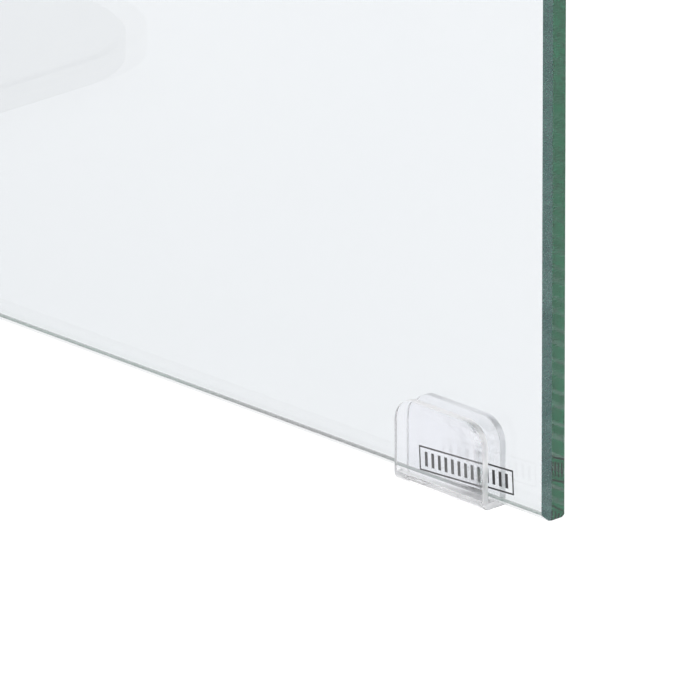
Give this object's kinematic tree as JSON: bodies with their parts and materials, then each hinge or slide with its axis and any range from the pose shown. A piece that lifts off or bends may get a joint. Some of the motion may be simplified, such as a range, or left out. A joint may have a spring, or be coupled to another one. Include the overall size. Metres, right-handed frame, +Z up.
{
  "type": "sneeze guard",
  "caption": "Countertop sneeze guard: clear glass pane with clear edge clips, hinged to stainless posts on bar feet, flips up and clamps with lobed knobs.",
  "frame": {"origin": "middle of the footprint on the countertop", "axes": "+X along the pane, -Y towards the customer's side, +Z up from the counter"},
  "size_m": [0.914, 0.228, 0.469],
  "materials": {
    "glass": "clear toughened float glass, polished edges with ground arrises",
    "clear_plastic": "clear moulded plastic",
    "brushed_steel": "brushed stainless steel",
    "cast_steel": "satin stainless casting",
    "bright_steel": "bright stainless fasteners",
    "black_steel": "black oxide screws",
    "rubber": "black rubber",
    "black_plastic": "fine textured black moulding",
    "washer_plastic": "natural friction washer",
    "brass": "turned brass"
  },
  "bodies": {
    "frame": {"foot_pads_left": "rubber", "foot_pads_right": "rubber", "foot_bar_left": "brushed_steel", "foot_bar_right": "brushed_steel", "post_socket_left": "brushed_steel", "post_socket_right": "brushed_steel", "post_left": "brushed_steel", "post_right": "brushed_steel", "post_head_left": "cast_steel", "post_head_right": "cast_steel", "pivot_pin_left": "bright_steel", "pivot_pin_right": "bright_steel", "pivot_washers_left": "washer_plastic", "pivot_washers_right": "washer_plastic", "tie_bar": "brushed_steel", "tie_socket_left": "cast_steel", "tie_socket_right": "cast_steel", "stop_stud_left": "bright_steel", "stop_stud_right": "bright_steel", "stop_tip_left": "rubber", "stop_tip_right": "rubber", "set_screws": "black_steel"},
    "pane": {"glass_pane": "glass", "hinge_leaf_left": "cast_steel", "hinge_leaf_right": "cast_steel", "clamp_plate_left": "brushed_steel", "clamp_plate_right": "brushed_steel", "rear_gasket_left": "rubber", "rear_gasket_right": "rubber", "front_gasket_left": "rubber", "front_gasket_right": "rubber", "clamp_screws": "bright_steel", "glass_bushes": "clear_plastic"},
    "clip_left": {"edge_clip_left": "clear_plastic"},
    "knob_left": {"lock_knob_left": "black_plastic", "knob_insert_left": "brass"},
    "clip_right": {"edge_clip_right": "clear_plastic"},
    "knob_right": {"lock_knob_right": "black_plastic", "knob_insert_right": "brass"}
  },
  "joints": [
    {"name": "pane_flip", "type": "hinge", "parent": "frame", "child": "pane", "pos_m": [0, 0.06, 0.424], "axis": [-1, 0, 0], "range_deg": [0, 95]},
    {"name": "knob_left_turn", "type": "hinge", "parent": "frame", "child": "knob_left", "pos_m": [-0.1973, 0.06, 0.424], "axis": [-1, 0, 0], "range_deg": [0, 180]},
    {"name": "knob_right_turn", "type": "hinge", "parent": "frame", "child": "knob_right", "pos_m": [0.1973, 0.06, 0.424], "axis": [1, 0, 0], "range_deg": [0, 180]},
    {"name": "clip_left_slide", "type": "slide", "parent": "pane", "child": "clip_left", "axis": [-1, 0, 0], "range_m": [-0.12, 0.015]},
    {"name": "clip_right_slide", "type": "slide", "parent": "pane", "child": "clip_right", "axis": [1, 0, 0], "range_m": [-0.12, 0.015]}
  ]
}
